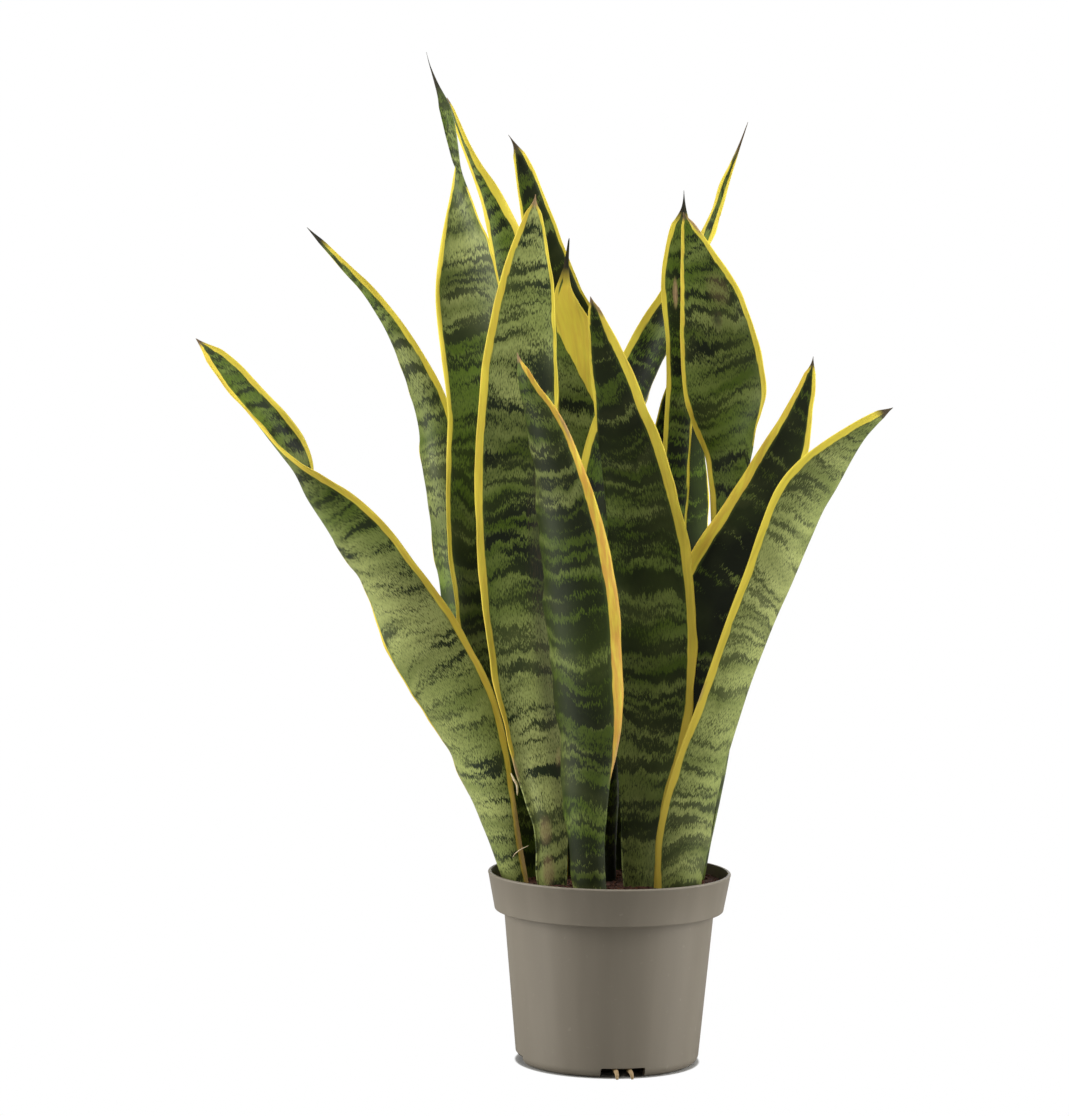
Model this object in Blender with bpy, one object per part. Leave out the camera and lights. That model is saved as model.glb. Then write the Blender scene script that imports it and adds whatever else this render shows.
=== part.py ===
"""Potted snake plant: a moulded nursery pot, its soil, fifteen sword leaves and two roots.

Metres, +Z up. The origin is the centre of the pot's foot, on the surface it stands on.
-Y is the front. Leaves are described above the soil, so they follow the pot when it changes.
"""
import math

import bmesh
import bpy
from mathutils import Vector

MM = 0.001
FIT = 0.3 * MM                    # gap between pieces that touch

# Pot
POT_HEIGHT = 133.5 * MM
RIM_RADIUS = 85.0 * MM
COLLAR_HEIGHT = 26.5 * MM
COLLAR_TAPER = 3.8 * MM           # the collar is this much smaller in radius at its lower edge
COLLAR_STEP = 6.8 * MM            # from the collar's lower edge in to the body
FOOT_RADIUS = 63.6 * MM
FOOT_ROUNDING = 6.5 * MM
FOOT_LIP = 3.0 * MM               # width of the flat ring that the pot stands on
WALL = 1.3 * MM
RIM_LIP = 1.0 * MM                # how far the rolled rim stands proud of the collar
RIM_LIP_HEIGHT = 2.2 * MM
GUTTER_HEIGHT = 7.6 * MM          # raised drain gutter between the foot and the centre pad
CENTRE_PAD_RADIUS = 38.0 * MM
NOTCH_WIDTH = 31.0 * MM           # drain notches through the foot
NOTCH_HEIGHT = 7.0 * MM
NOTCH_COUNT = 4
NOTCH_FIRST = math.radians(-81)   # heading of the front notch's centre
DRAIN_WIDTH = 22.0 * MM           # drain hole in the gutter's roof behind each notch
DRAIN_DEPTH = 8.0 * MM
POT_SIDES = 64
CORNER_STEPS = 5                  # facets round the foot's corner
LIP_STEPS = 3                     # facets round the rim's lip

# Soil
SOIL_BELOW_RIM = 7.5 * MM
SOIL_CROWN = 1.5 * MM             # the middle stands this much higher than the edge

# Leaves
LEAF_BURIED = 11.0 * MM           # how deep a leaf goes into the soil
LEAF_THICKNESS = 3.0 * MM         # along the rib
MARGIN_THICKNESS = 1.2 * MM
THINNING_WIDTH = 20.0 * MM        # below this width the rib thins out towards the tip
TIP_WIDTH = 2.5 * MM
FOLIAGE_HEIGHT = 578.0 * MM       # tallest tip above the soil
PLAN_SOIL_RADIUS = 80.7 * MM      # the soil radius for which the places below are given
PLAN_HEIGHT = 578.0 * MM          # the foliage height for which the places below are given
STATIONS = 18                     # cross-sections along a leaf
HALF_ACROSS = 3                   # facets across each half of a leaf
POCKET_STATIONS = 4               # cross-sections that reach from a buried end past the soil

# Roots that come down a drain hole and out of the front notch
ROOT_RADIUS = 1.7 * MM
ROOT_TIP_RADIUS = 0.8 * MM
ROOT_REACH = 6.0 * MM             # how far a tip lies beyond the foot
ROOT_SPACING = 9.8 * MM
ROOT_PASSING_HEIGHT = 4.8 * MM     # height of its middle as it passes through the notch
ROOT_OFF_GROUND = 0.4 * MM
ROOT_BEND_STEPS = 4
ROOT_DROOP_STEPS = 4
ROOT_SIDES = 8

# Colours as linear red, green, blue, with a roughness
TAUPE_PLASTIC = (0.27, 0.25, 0.21, 0.55)
PEAT = (0.035, 0.017, 0.010, 0.95)
LEAF_GREEN = (0.12, 0.20, 0.06, 0.45)
ROOT_TAN = (0.55, 0.42, 0.25, 0.70)

# Each row of a leaf is one place on its rib, from the soil to the tip: x, y and height above
# the soil in mm, the heading its hollow face looks to (0 is the front, 90 is +X), the width
# along the blade in mm, and how far the blade is cupped, in degrees.
LEAVES = {
    "leaf_far_left_low": [
        (-69, -8, 0, 132, 28, 120), (-83, -11, 45, 138, 40, 110), (-95, -13, 85, 148, 51, 95),
        (-108, -15, 125, 164, 55, 78), (-130, -18, 167, 176, 56, 66),
        (-152, -21, 203, 154, 50, 84), (-176, -25, 235, 138, 51, 100),
        (-206, -29, 265, 114, 53, 128), (-225, -33, 299, 76, 43, 110), (-250, -36, 333, 60, 30, 90),
        (-270, -38, 359, 50, 20, 65), (-286, -38, 376, 50, 4, 50)],
    "leaf_left_mid": [
        (-53, 28, 0, 128, 31, 115), (-84, 38, 65, 130, 39, 105), (-104, 41, 145, 134, 41, 100),
        (-115, 41, 215, 138, 43, 100), (-124, 40, 275, 138, 43, 100), (-132, 39, 325, 138, 38, 100),
        (-149, 37, 370, 136, 24, 100), (-170, 35, 405, 130, 14, 95), (-188, 33, 425, 125, 10, 85),
        (-216, 31, 455, 120, 3, 50)],
    "leaf_back_left_tall": [
        (-57, 10, 0, 44, 33, 114), (-74, 15, 83, 34, 37, 90), (-87, 19, 165, 20, 45, 72),
        (-91, 21, 250, 0, 52, 60), (-90, 22, 335, -14, 53, 56), (-100, 23, 402, -20, 52, 60),
        (-104, 24, 453, -28, 36, 75), (-108, 25, 485, -60, 19, 84), (-112, 26, 507, -104, 15, 78),
        (-118, 27, 537, -115, 17, 65), (-129, 28, 562, -115, 6, 55), (-134, 29, 578, -115, 3, 50)],
    "leaf_back_left_narrow": [
        (-27, 47, 0, 151, 28, 113), (-34, 53, 65, 155, 29, 100), (-47, 61, 165, 162, 28, 82),
        (-60, 66, 310, 170, 31, 70), (-72, 63, 419, 168, 30, 62), (-85, 58, 469, 160, 20, 66),
        (-104, 53, 508, 142, 9, 66), (-120, 49, 548, 130, 4, 50)],
    "leaf_centre_tall": [
        (-43, -28, 0, 34, 28, 119), (-44, -28, 25, 31, 29, 116), (-46, -28, 57, 24, 34, 106),
        (-52, -28, 91, 14, 40, 90), (-58, -28, 133, 6, 46, 76), (-63, -28, 175, 0, 50, 65),
        (-67, -29, 233, -4, 54, 55), (-68, -30, 290, -6, 56, 50), (-66, -31, 350, -6, 53, 46),
        (-64, -32, 391, -6, 45, 46), (-61, -33, 429, -6, 32, 48), (-59, -34, 455, -6, 17, 46),
        (-57, -35, 477, -6, 3, 40)],
    "leaf_back_centre_dark": [
        (7, 54, 0, 9, 25, 113), (5, 63, 55, 5, 28, 104), (-1, 72, 122, 0, 34, 90),
        (-11, 82, 252, -5, 42, 70), (-26, 87, 365, -5, 44, 62), (-46, 89, 430, -5, 31, 60),
        (-62, 90, 489, -7, 17, 58), (-71, 91, 515, -8, 7, 52), (-77, 91, 525, -8, 3, 50)],
    "leaf_front_short": [
        (-17, -56, 0, 150, 30, 119), (-20, -57, 25, 150, 32, 118), (-23, -59, 65, 149, 41, 114),
        (-22, -62, 121, 153, 57, 112), (-26, -65, 168, 154, 63, 110), (-32, -68, 223, 152, 62, 108),
        (-42, -70, 279, 148, 48, 104), (-52, -72, 319, 142, 34, 98), (-62, -74, 345, 132, 20, 84),
        (-68, -75, 369, 120, 5, 50)],
    "leaf_centre_yellow_edge": [
        (-20, 26, 0, 19, 31, 116), (-20, 31, 40, 17, 33, 108), (-21, 42, 123, 10, 34, 86),
        (-22, 55, 238, 0, 35, 66), (-23, 62, 320, -5, 35, 56), (-29, 65, 380, -6, 31, 50),
        (-36, 66, 410, -9, 17, 50), (-35, 66, 429, -10, 6, 50), (-33, 66, 451, -10, 3, 50)],
    "leaf_front_right_broad": [
        (23, -25, 0, -20, 30, 123), (23, -25, 20, -20, 31, 120), (24, -26, 62, -15, 39, 106),
        (29, -27, 117, -10, 57, 90), (29, -28, 172, -8, 61, 76), (25, -29, 229, -8, 58, 65),
        (15, -30, 286, -8, 48, 57), (1, -31, 338, -8, 35, 55), (-10, -32, 377, -8, 20, 53),
        (-19, -33, 408, -8, 3, 50)],
    "leaf_right_back_broad": [
        (62, 15, 0, -60, 36, 116), (77, 23, 83, -60, 46, 105), (84, 30, 152, -60, 49, 95),
        (88, 35, 224, -60, 47, 86), (85, 37, 288, -52, 44, 74), (81, 37, 322, -27, 53, 58),
        (78, 36, 347, -15, 60, 50), (69, 36, 398, -10, 49, 46), (56, 36, 441, -10, 23, 44),
        (46, 36, 469, -10, 3, 40)],
    "leaf_right_back_slender": [
        (24, 32, 0, 10, 22, 115), (34, 38, 124, 2, 26, 92), (40, 44, 223, -6, 24, 78),
        (45, 50, 308, -11, 21, 70), (47, 53, 365, -6, 21, 64), (44, 53, 418, 0, 25, 60),
        (45, 52, 454, -7, 17, 57), (47, 52, 472, -11, 8, 54), (47, 52, 485, -14, 3, 50)],
    "leaf_right_back_hidden": [
        (42, 40, 0, -168, 26, 103), (45, 44, 38, -168, 31, 98), (49, 54, 109, -168, 40, 88),
        (50, 61, 192, -170, 47, 76), (47, 66, 264, -170, 48, 65), (48, 69, 316, -170, 37, 56),
        (54, 70, 356, -168, 24, 52), (59, 70, 387, -168, 3, 50)],
    "leaf_far_back_leaning": [
        (0, -3, 0, -125, 38, 113), (0, 0, 45, -126, 43, 108), (-1, 8, 125, -128, 51, 100),
        (-2, 26, 221, -130, 58, 92), (0, 42, 285, -130, 55, 86), (11, 54, 332, -130, 45, 80),
        (30, 64, 375, -130, 42, 75), (48, 71, 412, -118, 36, 66), (68, 78, 459, -38, 16, 60),
        (76, 82, 488, 0, 12, 55), (85, 84, 512, 20, 4, 52), (93, 85, 536, 20, 3, 50)],
    "leaf_right_leaning": [
        (31, -2, 0, -30, 29, 123), (33, -2, 20, -30, 30, 119), (41, -2, 71, -32, 38, 105),
        (50, -2, 131, -35, 45, 90), (65, -2, 188, -38, 58, 76), (82, -1, 221, -40, 62, 67),
        (98, 0, 250, -40, 57, 64), (113, 1, 282, -42, 50, 61), (126, 3, 322, -47, 31, 58),
        (134, 5, 350, -55, 17, 54), (136, 5, 369, -60, 3, 50)],
    "leaf_far_right_front": [
        (52, -42, 0, -148, 43, 123), (54, -43, 20, -148, 50, 122), (57, -44, 41, -147, 53, 120),
        (65, -46, 80, -143, 51, 116), (80, -49, 129, -138, 48, 112), (96, -52, 177, -136, 50, 108),
        (114, -55, 224, -137, 53, 104), (129, -57, 264, -136, 57, 98),
        (144, -58, 289, -130, 50, 90), (162, -59, 314, -120, 29, 76), (176, -60, 328, -112, 15, 62),
        (185, -60, 335, -110, 4, 50)],
}


def material(name, red, green, blue, roughness):
    """A plain Principled material with a colour and a roughness."""
    mat = bpy.data.materials.new(name)
    mat.use_nodes = True
    shader = mat.node_tree.nodes["Principled BSDF"]
    shader.inputs["Base Color"].default_value = (red, green, blue, 1.0)
    shader.inputs["Roughness"].default_value = roughness
    return mat


def add_object(name, bm, mat):
    """Put a finished bmesh in the scene under its name; a cutter has no material."""
    mesh = bpy.data.meshes.new(name)
    bm.to_mesh(mesh)
    bm.free()
    obj = bpy.data.objects.new(name, mesh)
    bpy.context.scene.collection.objects.link(obj)
    if mat:
        mesh.materials.append(mat)
    return obj


def arc(centre, radius, start, end, steps):
    """Points (r, z) on an arc; angles in degrees, 0 along +r and 90 along +z."""
    points = []
    for i in range(steps + 1):
        a = math.radians(start + (end - start) * i / steps)
        points.append((centre[0] + radius * math.cos(a), centre[1] + radius * math.sin(a)))
    return points


def turned(name, profile, mat):
    """A solid of revolution from a closed (r, z) outline that starts and ends on the axis."""
    bm = bmesh.new()
    rings = []
    for radius, z in profile:
        if radius == 0.0:
            rings.append([bm.verts.new((0.0, 0.0, z))])
            continue
        rings.append([bm.verts.new((radius * math.cos(2 * math.pi * i / POT_SIDES),
                                    radius * math.sin(2 * math.pi * i / POT_SIDES), z))
                      for i in range(POT_SIDES)])
    for lower, upper in zip(rings, rings[1:]):
        for i in range(POT_SIDES):
            j = (i + 1) % POT_SIDES
            if len(lower) == 1:
                bm.faces.new((lower[0], upper[j], upper[i]))
            elif len(upper) == 1:
                bm.faces.new((lower[i], lower[j], upper[0]))
            else:
                bm.faces.new((lower[i], lower[j], upper[j], upper[i]))
    bmesh.ops.recalc_face_normals(bm, faces=bm.faces)
    return add_object(name, bm, mat)


def cut(target, cutter):
    """Subtract one object from another; the cutter stays as a hidden guide."""
    cutter.hide_render = True
    cutter.display_type = "WIRE"
    boolean = target.modifiers.new(cutter.name, "BOOLEAN")
    boolean.operation = "DIFFERENCE"
    boolean.solver = "EXACT"
    boolean.object = cutter


# ---------------------------------------------------------------- pot

def collar_base_z():
    return POT_HEIGHT - COLLAR_HEIGHT


def collar_base_radius():
    return RIM_RADIUS - RIM_LIP - COLLAR_TAPER


def body_top_radius():
    return collar_base_radius() - COLLAR_STEP


def body_radius(z):
    """Outer radius of the tapered body at a height."""
    share = z / collar_base_z()
    return FOOT_RADIUS + (body_top_radius() - FOOT_RADIUS) * share


def collar_radius(z):
    """Outer radius of the collar at a height."""
    share = (z - collar_base_z()) / COLLAR_HEIGHT
    return collar_base_radius() + COLLAR_TAPER * share


def floor_z():
    return GUTTER_HEIGHT + WALL


def foot_outer_radius():
    """Where the flat ring of the foot meets its rounded outer corner."""
    return body_radius(FOOT_ROUNDING) - FOOT_ROUNDING


def gutter_radii():
    """Inner and outer radius of the flat roof of the drain gutter."""
    return CENTRE_PAD_RADIUS + 2 * WALL, foot_outer_radius() - FOOT_LIP - WALL


def pot_profile():
    """Outline of half the pot, from the centre of its underside round to its inside."""
    foot_out = foot_outer_radius()
    gutter_in, gutter_out = gutter_radii()
    lip_z = POT_HEIGHT - RIM_LIP_HEIGHT
    under = [(0.0, 0.0), (CENTRE_PAD_RADIUS, 0.0), (gutter_in, GUTTER_HEIGHT),
             (gutter_out, GUTTER_HEIGHT), (foot_out - FOOT_LIP, 0.0)]
    corner = arc((foot_out, FOOT_ROUNDING), FOOT_ROUNDING, -90, 0, CORNER_STEPS)
    outside = [(body_top_radius(), collar_base_z()),
               (collar_base_radius(), collar_base_z()),
               (collar_radius(lip_z), lip_z)]
    rim = arc((RIM_RADIUS - RIM_LIP, POT_HEIGHT - RIM_LIP), RIM_LIP, -30, 90, LIP_STEPS)
    inside = [(collar_radius(POT_HEIGHT) - WALL, POT_HEIGHT),
              (collar_base_radius() - WALL, collar_base_z() + WALL),
              (body_top_radius() - WALL, collar_base_z() + WALL),
              (body_radius(floor_z() + FOOT_ROUNDING) - WALL, floor_z() + FOOT_ROUNDING),
              (foot_out, floor_z()), (CENTRE_PAD_RADIUS - WALL, floor_z()),
              (CENTRE_PAD_RADIUS - 3 * WALL, WALL), (0.0, WALL)]
    return under + corner + outside + rim + inside


def add_block(bm, heading, near, far, width, low, high):
    """A box that lies along a heading from radius near to radius far."""
    outward = Vector((math.cos(heading), math.sin(heading), 0.0))
    across = Vector((-outward.y, outward.x, 0.0)) * width / 2
    corners = [outward * near - across, outward * far - across,
               outward * far + across, outward * near + across]
    bottom = [bm.verts.new(c + Vector((0.0, 0.0, low))) for c in corners]
    top = [bm.verts.new(c + Vector((0.0, 0.0, high))) for c in corners]
    bm.faces.new(bottom[::-1])
    bm.faces.new(top)
    for i in range(4):
        j = (i + 1) % 4
        bm.faces.new((bottom[i], bottom[j], top[j], top[i]))


def notch_headings():
    return [NOTCH_FIRST + 2 * math.pi * i / NOTCH_COUNT for i in range(NOTCH_COUNT)]


def notch_cutter():
    """Blocks that cut the drain notches through the foot, from the gutter outwards."""
    bm = bmesh.new()
    near = gutter_radii()[1] - WALL
    for heading in notch_headings():
        add_block(bm, heading, near, RIM_RADIUS, NOTCH_WIDTH, -NOTCH_HEIGHT, NOTCH_HEIGHT)
    return add_object("notch_cutter", bm, None)


def drain_middle():
    return sum(gutter_radii()) / 2


def drain_cutter():
    """Blocks that cut a drain hole in the gutter's roof behind each notch."""
    bm = bmesh.new()
    near = drain_middle() - DRAIN_DEPTH / 2
    far = drain_middle() + DRAIN_DEPTH / 2
    for heading in notch_headings():
        add_block(bm, heading, near, far, DRAIN_WIDTH, GUTTER_HEIGHT - WALL, floor_z() + WALL)
    return add_object("drain_cutter", bm, None)


def make_pot():
    pot = turned("nursery_pot", pot_profile(), material("taupe_plastic", *TAUPE_PLASTIC))
    cut(pot, notch_cutter())
    cut(pot, drain_cutter())
    return pot


# ---------------------------------------------------------------- soil and leaves

def soil_z():
    """Height of the soil's edge."""
    return POT_HEIGHT - SOIL_BELOW_RIM


def soil_radius():
    return collar_radius(soil_z()) - WALL - FIT


def soil_profile():
    """Outline of half the soil, which fills the pot with a small gap."""
    step_z = collar_base_z() + WALL + FIT
    low_z = floor_z() + FIT
    foot_out = foot_outer_radius()
    return [(0.0, WALL + FIT), (CENTRE_PAD_RADIUS - 3 * WALL - FIT, WALL + FIT),
            (CENTRE_PAD_RADIUS - WALL - FIT, low_z), (foot_out - FIT, low_z),
            (body_radius(floor_z() + FOOT_ROUNDING) - WALL - FIT, floor_z() + FOOT_ROUNDING),
            (body_top_radius() - WALL - FIT, step_z),
            (collar_radius(step_z) - WALL - FIT, step_z),
            (soil_radius(), soil_z()), (soil_radius() * 0.5, soil_z() + SOIL_CROWN * 0.8),
            (0.0, soil_z() + SOIL_CROWN)]


def smooth(values, t):
    """Catmull-Rom reading of a list of numbers, t from 0 to its last index."""
    i = min(int(t), len(values) - 2)
    f = t - i
    b, c = values[i], values[i + 1]
    a = values[i - 1] if i else 2 * b - c
    d = values[i + 2] if i + 2 < len(values) else 2 * c - b
    return b + 0.5 * f * (c - a + f * (2 * a - 5 * b + 4 * c - d + f * (3 * (b - c) + d - a)))


def leaf_rows(rows):
    """A leaf's rows in metres and radians; the first is carried on straight into the soil."""
    spread = soil_radius() / PLAN_SOIL_RADIUS
    rise = FOLIAGE_HEIGHT / PLAN_HEIGHT
    placed = [(x * MM * spread, y * MM * spread, soil_z() + height * MM * rise,
               math.radians(turn), width * MM * spread, math.radians(cup))
              for x, y, height, turn, width, cup in rows]
    back = LEAF_BURIED / (placed[1][2] - placed[0][2])
    buried = [a - (b - a) * back for a, b in zip(placed[0], placed[1])]
    return [buried] + placed[1:]


def blade_section(along, station, grow):
    """One closed cross-section of a leaf, square to the way it runs."""
    x, y, z, turn, width, cup = station
    facing = Vector((math.sin(turn), -math.cos(turn), 0.0))
    facing = (facing - along * facing.dot(along)).normalized()
    across = along.cross(facing)
    width = max(width, TIP_WIDTH)
    radius = width / cup
    rib = (LEAF_THICKNESS - MARGIN_THICKNESS) * min(1.0, width / THINNING_WIDTH)
    inner, outer = [], []
    for k in range(-HALF_ACROSS, HALF_ACROSS + 1):
        s = k / HALF_ACROSS
        theta = s * (cup / 2 + grow / radius)
        sine, cosine = math.sin(theta), math.cos(theta)
        middle = Vector((x, y, z)) + facing * radius * (1 - cosine) + across * radius * sine
        half = (MARGIN_THICKNESS + rib * (1 - s * s)) / 2 + grow
        normal = facing * cosine - across * sine
        inner.append(middle + normal * half)
        outer.append(middle - normal * half)
    return outer + inner[::-1]


def blade_rings(rows, grow):
    """Closed cross-sections of a leaf from its buried end to its tip."""
    rows = leaf_rows(rows)
    columns = list(zip(*rows))
    places = [(len(rows) - 1) * i / (STATIONS - 1) for i in range(STATIONS)]
    stations = [[smooth(column, t) for column in columns] for t in places]
    rings = []
    for i, station in enumerate(stations):
        after = Vector(stations[min(i + 1, STATIONS - 1)][:3])
        before = Vector(stations[max(i - 1, 0)][:3])
        rings.append(blade_section((after - before).normalized(), station, grow))
    return rings


def skin(bm, rings):
    """Join closed cross-sections into one closed body."""
    loops = [[bm.verts.new(p) for p in ring] for ring in rings]
    size = len(loops[0])
    for lower, upper in zip(loops, loops[1:]):
        for i in range(size):
            j = (i + 1) % size
            bm.faces.new((lower[i], lower[j], upper[j], upper[i]))
    half = size // 2
    for loop, flip in ((loops[0], True), (loops[-1], False)):
        for i in range(half - 1):
            quad = (loop[i], loop[i + 1], loop[size - 2 - i], loop[size - 1 - i])
            bm.faces.new(quad[::-1] if flip else quad)


def make_leaf(name, rows, mat):
    bm = bmesh.new()
    skin(bm, blade_rings(rows, 0.0))
    bmesh.ops.recalc_face_normals(bm, faces=bm.faces)
    return add_object(name, bm, mat)


def pocket_cutter():
    """The buried ends of all leaves, a fit larger, to hollow their pockets in the soil."""
    bm = bmesh.new()
    down = Vector((0.0, 0.0, FIT))
    for rows in LEAVES.values():
        rings = blade_rings(rows, FIT)[:POCKET_STATIONS]
        rings[0] = [p - down for p in rings[0]]
        skin(bm, rings)
    bmesh.ops.recalc_face_normals(bm, faces=bm.faces)
    return add_object("pocket_cutter", bm, None)


def make_soil():
    soil = turned("potting_soil", soil_profile(), material("peat", *PEAT))
    cut(soil, pocket_cutter())
    return soil


# ---------------------------------------------------------------- roots

def root_path():
    """Distance outwards and height of a root's middle, from the drain hole to its tip."""
    bend = floor_z() - ROOT_PASSING_HEIGHT
    droop = ROOT_PASSING_HEIGHT - ROOT_OFF_GROUND
    end = body_radius(0.0) + ROOT_REACH
    hanging = arc((drain_middle() + bend, floor_z()), bend, 180, 270, ROOT_BEND_STEPS)
    drooping = arc((end - droop, ROOT_OFF_GROUND), droop, 90, 0, ROOT_DROOP_STEPS)
    return hanging + drooping


def make_root(name, offset, mat):
    """A root that comes down a drain hole, passes through the notch and droops to the ground."""
    outward = Vector((math.cos(NOTCH_FIRST), math.sin(NOTCH_FIRST), 0.0))
    across = Vector((-outward.y, outward.x, 0.0))
    up = Vector((0.0, 0.0, 1.0))
    centres = [outward * r + across * offset + up * z for r, z in root_path()]
    last = len(centres) - 1
    bm = bmesh.new()
    loops = []
    for i, centre in enumerate(centres):
        ahead = centres[min(i + 1, last)] - centres[max(i - 1, 0)] if i else -up
        side = across.cross(ahead.normalized())
        radius = ROOT_TIP_RADIUS if i == last else ROOT_RADIUS
        angles = [2 * math.pi * k / ROOT_SIDES for k in range(ROOT_SIDES)]
        loops.append([bm.verts.new(centre + across * radius * math.cos(a)
                                   + side * radius * math.sin(a)) for a in angles])
    for near, far in zip(loops, loops[1:]):
        for k in range(ROOT_SIDES):
            m = (k + 1) % ROOT_SIDES
            bm.faces.new((near[k], near[m], far[m], far[k]))
    bm.faces.new(loops[0][::-1])
    bm.faces.new(loops[-1])
    bmesh.ops.recalc_face_normals(bm, faces=bm.faces)
    return add_object(name, bm, mat)


def main():
    for obj in list(bpy.data.objects):
        bpy.data.objects.remove(obj, do_unlink=True)
    make_pot()
    make_soil()
    green = material("leaf_green", *LEAF_GREEN)
    for name, rows in LEAVES.items():
        make_leaf(name, rows, green)
    tan = material("root_tan", *ROOT_TAN)
    make_root("root_left", -ROOT_SPACING / 2, tan)
    make_root("root_right", ROOT_SPACING / 2, tan)


main()
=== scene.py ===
"""Potted snake plant: banded, yellow-edged sword leaves in a moulded taupe nursery pot.

Every length is in metres unless its name ends in _MM. -Y is the front and +Z is up.
"""
import math

import bmesh
import bpy
import numpy as np
from mathutils import Matrix, Vector, noise


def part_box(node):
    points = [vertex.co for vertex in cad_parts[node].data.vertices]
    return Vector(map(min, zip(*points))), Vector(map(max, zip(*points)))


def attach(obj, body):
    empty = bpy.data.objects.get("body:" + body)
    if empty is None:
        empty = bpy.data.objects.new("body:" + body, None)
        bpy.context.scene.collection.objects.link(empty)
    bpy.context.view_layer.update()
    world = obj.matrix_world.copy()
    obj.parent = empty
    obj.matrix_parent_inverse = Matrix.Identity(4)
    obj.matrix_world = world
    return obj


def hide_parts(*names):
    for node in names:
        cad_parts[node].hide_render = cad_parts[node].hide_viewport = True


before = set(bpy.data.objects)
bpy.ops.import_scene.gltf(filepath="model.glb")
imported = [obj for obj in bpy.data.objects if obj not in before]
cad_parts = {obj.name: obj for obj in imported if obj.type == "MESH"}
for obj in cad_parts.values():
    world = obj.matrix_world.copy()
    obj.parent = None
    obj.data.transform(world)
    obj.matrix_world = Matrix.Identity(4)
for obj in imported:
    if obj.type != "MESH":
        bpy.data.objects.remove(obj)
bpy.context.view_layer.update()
MM = 0.001

POT_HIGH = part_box("nursery_pot")[1]
SOIL_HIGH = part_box("potting_soil")[1]
RIM_RADIUS = POT_HIGH.x
POT_HEIGHT = POT_HIGH.z
SOIL_RADIUS = SOIL_HIGH.x
SOIL_TOP = SOIL_HIGH.z

MATH, RANGE = "ShaderNodeMath", "ShaderNodeMapRange"
MIX, NOISE = "ShaderNodeMix", "ShaderNodeTexNoise"
FIRST, SECOND, MIXED = 6, 7, 2    # a Mix node's colour inputs and its colour output


# ---------------------------------------------------------------- small tools

def linear(colour):
    """An sRGB hex colour, such as "#9FA568", as linear red, green, blue and alpha."""
    parts = [int(colour[i:i + 2], 16) / 255 for i in (1, 3, 5)]
    return (*[c / 12.92 if c <= 0.04045 else ((c + 0.055) / 1.055) ** 2.4 for c in parts], 1.0)


def add(tree, kind, feeds, **settings):
    """Add a node with its settings, each input socket fed by a value or by another node's output.
    Feeds are listed in the order of the sockets, or keyed by socket."""
    made = tree.nodes.new(kind)
    for name, value in settings.items():
        setattr(made, name, value)
    for socket, feed in feeds.items() if isinstance(feeds, dict) else enumerate(feeds):
        if isinstance(feed, bpy.types.NodeSocket):
            tree.links.new(feed, made.inputs[socket])
        else:
            made.inputs[socket].default_value = feed
    return made.outputs


def new_material(name, **shader_values):
    """A material with a Principled shader whose even values are set on its own sockets."""
    made = bpy.data.materials.new(name)
    made.use_nodes = True
    shader = made.node_tree.nodes["Principled BSDF"]
    for socket, value in shader_values.items():
        shader.inputs[socket.replace("_", " ")].default_value = value
    return made, made.node_tree, shader


def as_piece(name, mesh, material, slot, *replaced):
    """Put a mesh in the scene as a piece that stands for CAD nodes, which it hides. The slot is not
    used.
    """
    piece = bpy.data.objects.new(name, mesh)
    bpy.context.scene.collection.objects.link(piece)
    mesh.materials.append(material)
    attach(piece, "root")
    if replaced:
        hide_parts(*replaced)
    return piece


def keyed(keys, where):
    """Read a list of (place, value) pairs at many places, with straight lines between them."""
    return np.interp(where, [k[0] for k in keys], [k[1] for k in keys])


# ---------------------------------------------------------------- materials

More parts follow.
